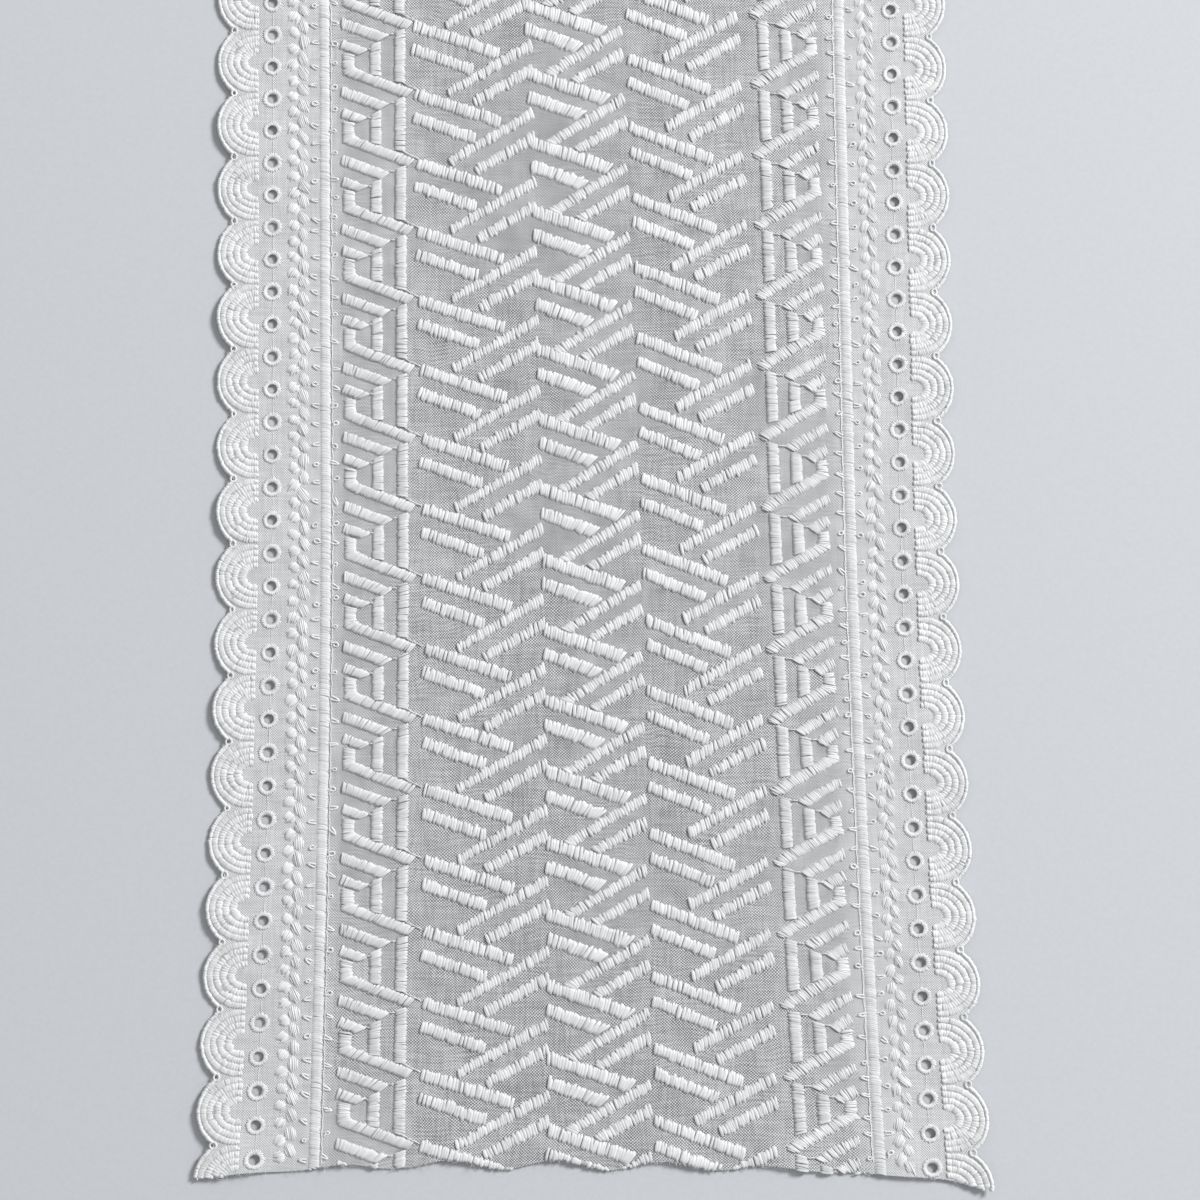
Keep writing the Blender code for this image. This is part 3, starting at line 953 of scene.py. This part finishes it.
def add_leaning(stock, centre, x, y, lean, rise, radius, tone):
    """A loose thread about a centre, turned by lean."""
    across = centre[0] + x * math.cos(lean) - y * math.sin(lean)
    along = centre[1] + x * math.sin(lean) + y * math.cos(lean)
    add_thread(stock, across, along, rise, radius, around=6, tone=tone)


def add_loop(stock, centre, wide, lean):
    """One small loop of loose thread, with a short tail."""
    tall = 0.75 * wide
    turn = np.linspace(0.3, 0.3 + TAU * rng.uniform(0.85, 1.1), 14)
    tail = np.linspace(0.0, rng.uniform(0.4, 0.9), 5)[1:]
    x = np.concatenate([wide * np.cos(turn), wide * math.cos(turn[-1]) + tail])
    y = np.concatenate([tall * np.sin(turn), tall * math.sin(turn[-1]) + 0.3 * tail])
    rise = 0.13 + 0.16 * np.sin(PI * np.linspace(0.0, 1.0, len(x))) ** 2
    # The loop's tone above the thread's usual one is a painted highlight, lifting it against the
    # shade round it.
    add_leaning(stock, centre, x, y, lean, rise, 0.22, 1.1)


def add_hairpin(stock, centre, reach, lean):
    """A thread that runs out, turns and runs back beside itself, a little off the cloth."""
    turn = np.linspace(-1.0, 1.0, 13)
    opening = 0.40 * rng.uniform(0.75, 1.2)
    back = np.where(turn < 0.0, 1.0, rng.uniform(0.75, 1.1))
    x = reach * (np.abs(turn) ** 1.5 * back - 0.5)
    y = opening * np.sin(0.5 * PI * turn) + rng.normal(0.0, 0.03, 13)
    rise = 0.12 + 0.12 * np.cos(0.5 * PI * turn)
    # The hairpin's tone above the thread's usual one is a painted highlight, lifting it against the
    # shade round it.
    add_leaning(stock, centre, x, y, lean, rise, 0.24, 1.12)


def thread_loops(stock, side_name, side):
    """Loose hairpins and loops in two lines beside the cord, and the threads to the eyelets."""
    for line in LOOP_LINES:
        along = line.begin
        while along < LENGTH - 2.0:
            place = side * (seam_line(side_name, along) - side * line.left)
            centre = np.array([place, along]) + rng.normal(0.0, (0.15, 0.35), 2)
            along += line.pitch * (1.0 + rng.normal(0.0, 0.14))
            if centre[1] - cut_line(centre[0]) < LOOP_ROOM:
                continue
            turned = 0.0 if line.left > 0.0 else PI
            if rng.random() < line.hairpins:
                add_hairpin(stock, centre, rng.uniform(1.8, 2.3), turned + rng.normal(-0.3, 0.25))
            else:
                add_loop(stock, centre, rng.uniform(0.48, 0.78), turned + rng.normal(0.0, 0.3))
    bend = 0.3 * np.sin(np.linspace(0.0, 2.0, 6))
    for middle in eyelet_middles(side_name):
        along = middle + bend + rng.normal(0.0, 0.03, 6)
        add_thread(stock, side * np.linspace(82.7, 80.2, 6), along, 0.04, FINE_THREAD, around=5)


def frayed_end():
    """Loose thread ends along the wavy cut."""
    stock = Stock()
    number = FRAY_COUNT
    across = rng.uniform(-FRAY_ACROSS, FRAY_ACROSS, number)
    length = np.clip(rng.gamma(2.2, 0.28, number), 0.15, 2.4)
    way = -PI / 2.0 + rng.normal(0.0, 0.5, number)
    bend = rng.normal(0.0, 0.9, number)
    step = np.linspace(0.0, 1.0, 6)
    heading = way[:, None] + bend[:, None] * step
    x = across[:, None] + length[:, None] * step * np.cos(heading)
    y = cut_line(across)[:, None] + 0.25 + length[:, None] * step * np.sin(heading)
    rise = 0.02 + rng.normal(0.0, 0.25, number)[:, None] * step**2
    height = np.maximum(ground_height(x, y) + rise, 0.1)
    thick = rng.uniform(0.045, 0.09, number)[:, None] * (1.0 - 0.5 * step)
    add_tubes(stock, np.stack([x, y, height], axis=-1), thick, around=3)
    return stock.build("frayed_end", purl)


def on_side(fill, material, side_name):
    stock = Stock()
    fill(stock, side_name, SIDES[side_name])
    return stock.build(fill.__name__ + "_" + side_name, material)


panel = panel_ground()
borders = {name: border_ground(name) for name in SIDES}
on_panel = [
    stitched_bars("bars_" + name, [("coarse", knots) for knots in bars], name)
    for name, bars in COLUMNS.items()
]
on_panel += [stitched_bars("key_band_" + name, KEY_BARS[name], name) for name in SIDES]
on_panel += [*[on_side(key_links, purl, name) for name in SIDES], frayed_end()]
BORDER_PIECES = [
    (scallops, satin), (edge_cords, purl), (eyelet_rims, purl), (satin_knots, satin),
    (seam_cord, satin), (thread_loops, purl),
]
on_border = {name: [on_side(*piece, name) for piece in BORDER_PIECES] for name in SIDES}

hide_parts("centre_panel")
for name, border in borders.items():
    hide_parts("border_" + name)

# ---- floor, light and camera
FLOOR_HALF = 1.2
FLOOR_GAP = 0.0003
corners = np.array([(-1, -1), (1, -1), (1, 1), (-1, 1)]) * FLOOR_HALF
floor_mesh = bpy.data.meshes.new("floor")
floor_mesh.from_pydata([(x, y, FLOOR_LEVEL - FLOOR_GAP) for x, y in corners], [], [(0, 1, 2, 3)])
floor = bpy.data.objects.new("floor", floor_mesh)
put(floor)
paper, tree, shader = new_tree("floor_paper")
grain = noise(tree, node(tree, "ShaderNodeTexCoord").outputs["Object"], 900.0, 2.0)
colour = mixed(tree, grain, (0.58, 0.595, 0.62), (0.64, 0.655, 0.68))
tree.links.new(colour, shader.inputs["Base Color"])
shader.inputs["Roughness"].default_value = 0.9
floor_mesh.materials.append(paper)

scene = bpy.context.scene
scene.view_settings.view_transform = "Standard"
world = bpy.data.worlds.new("studio")
scene.world = world
world.use_nodes = True
sky = world.node_tree.nodes["Background"].inputs
sky["Color"].default_value = (0.96, 0.98, 1.0, 1.0)
sky["Strength"].default_value = 0.42

LIGHT_PLACE = Vector((1.90, 1.24, 1.75))
light_data = bpy.data.lights.new("key_light", "AREA")
light_data.shape = "DISK"
light_data.size = 0.80
light_data.energy = 82.0
light = bpy.data.objects.new("key_light", light_data)
light.location = LIGHT_PLACE
light.rotation_mode = "QUATERNION"
light.rotation_quaternion = (-LIGHT_PLACE).to_track_quat("-Z", "Y")
put(light)

# The camera looks down at the trim, leaning towards its wavy cut end by CAMERA_TILT
CAMERA_TILT = math.radians(5.64)
CAMERA_ROLL = math.radians(-0.60)
CAMERA_DISTANCE = 0.7671
CAMERA_TARGET = Vector((0.00347, -0.01452, FLOOR_LEVEL))
camera_data = bpy.data.cameras.new("camera")
camera_data.lens = 85.0
camera_data.sensor_width = 36.0
camera_data.clip_start, camera_data.clip_end = 0.01, 10.0
camera = bpy.data.objects.new("camera", camera_data)
back = Vector((0.0, -math.sin(CAMERA_TILT), math.cos(CAMERA_TILT)))
turned = Matrix.Rotation(CAMERA_ROLL, 3, "Z")
looking = (-back).to_track_quat("-Z", "Y").to_matrix() @ turned
camera.matrix_world = Matrix.Translation(CAMERA_TARGET + back * CAMERA_DISTANCE) @ looking.to_4x4()
put(camera)
scene.camera = camera
